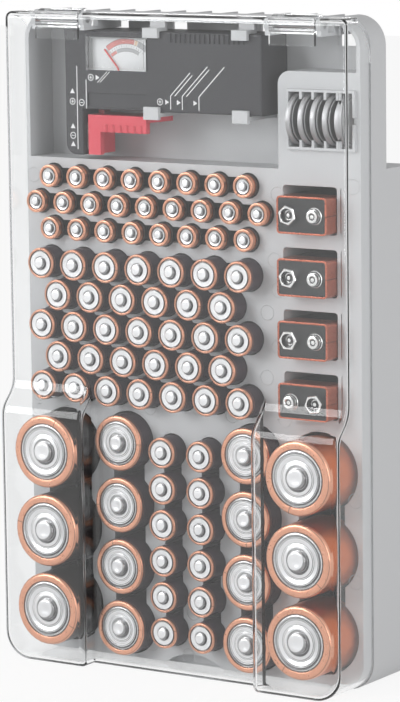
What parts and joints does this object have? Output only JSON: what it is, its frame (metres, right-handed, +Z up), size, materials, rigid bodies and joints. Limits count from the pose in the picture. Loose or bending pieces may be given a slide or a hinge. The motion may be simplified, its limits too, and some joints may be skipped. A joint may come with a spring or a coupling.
{
  "type": "battery storage case",
  "caption": "Upright storage case for household cells: a tray with a well for each cell, a clear hinged cover with deep bulges and a clip-in cell tester with a needle meter and a sliding arm.",
  "frame": {"origin": "middle of the footprint at the bottom edge that the case stands on", "axes": "+Z up along the case's height, +X to the right as seen from the front, +Y from the clear cover towards the open back"},
  "size_m": [0.18, 0.0666, 0.299],
  "materials": {
    "tray_plastic": "satin moulded",
    "clear_cover": "polished clear",
    "hinge_steel": "drawn",
    "tester_plastic": "satin moulded",
    "screw_steel": "zinc plated",
    "meter_clear": "polished clear",
    "dial_white": "printed",
    "movement_metal": "plain",
    "needle_red": "painted",
    "coil_copper": "wound wire",
    "board_laminate": "laminate",
    "arm_red": "satin moulded",
    "spring_steel": "drawn wire",
    "contact_nickel": "nickel plated",
    "nine_volt_jacket": "printed jacket",
    "nine_volt_top": "moulded",
    "snap_nickel": "nickel plated",
    "coin_steel": "brushed",
    "cell_can": "bright plated",
    "cell_jacket": "printed jacket"
  },
  "bodies": {
    "tray": {"tray": "tray_plastic", "top_bay": "tray_plastic", "hinge_pin_left": "hinge_steel", "hinge_pin_right": "hinge_steel", "tester_front_shell": "tester_plastic", "tester_rear_shell": "tester_plastic", "tester_screws": "screw_steel", "meter_window": "meter_clear", "meter_dial": "dial_white", "meter_movement": "movement_metal", "resistor_board": "board_laminate", "return_spring": "spring_steel", "fixed_contact": "contact_nickel", "nine_volt_contacts": "contact_nickel", "nine_volt_jackets": "nine_volt_jacket", "nine_volt_tops": "nine_volt_top", "nine_volt_snaps": "snap_nickel", "coin_cell_cans": "coin_steel", "coin_cell_caps": "coin_steel", "aaa_row_1_cans": "cell_can", "aaa_row_2_cans": "cell_can", "aaa_row_3_cans": "cell_can", "aa_row_1_cans": "cell_can", "aa_row_2_cans": "cell_can", "aa_row_3_cans": "cell_can", "aa_row_4_cans": "cell_can", "aa_row_5_cans": "cell_can", "aa_column_left_cans": "cell_can", "aa_column_right_cans": "cell_can", "c_column_left_cans": "cell_can", "c_column_right_cans": "cell_can", "d_column_left_cans": "cell_can", "d_column_right_cans": "cell_can", "aaa_row_1_jackets": "cell_jacket", "aaa_row_2_jackets": "cell_jacket", "aaa_row_3_jackets": "cell_jacket", "aa_row_1_jackets": "cell_jacket", "aa_row_2_jackets": "cell_jacket", "aa_row_3_jackets": "cell_jacket", "aa_row_4_jackets": "cell_jacket", "aa_row_5_jackets": "cell_jacket", "aa_column_left_jackets": "cell_jacket", "aa_column_right_jackets": "cell_jacket", "c_column_left_jackets": "cell_jacket", "c_column_right_jackets": "cell_jacket", "d_column_left_jackets": "cell_jacket", "d_column_right_jackets": "cell_jacket"},
    "cover": {"cover": "clear_cover"},
    "sliding_arm": {"sliding_arm": "arm_red", "guide_shoe": "arm_red", "moving_contact": "contact_nickel"},
    "needle": {"meter_needle": "needle_red", "needle_coil": "coil_copper"}
  },
  "joints": [
    {"name": "cover_hinge", "type": "hinge", "parent": "tray", "child": "cover", "pos_m": [0, -0.0172, 0.29466], "axis": [-1, 0, 0], "range_deg": [0, 180]},
    {"name": "arm_slide", "type": "slide", "parent": "tray", "child": "sliding_arm", "axis": [1, 0, 0], "range_m": [0, 0.026], "stiffness_N_per_m": 12, "springref_m": -0.012},
    {"name": "needle_swing", "type": "hinge", "parent": "tray", "child": "needle", "pos_m": [-0.0317, -0.0095, 0.26756], "axis": [0, 1, 0], "range_deg": [0, 82], "stiffness_Nm_per_rad": 0.00002, "springref_deg": -17.19}
  ]
}
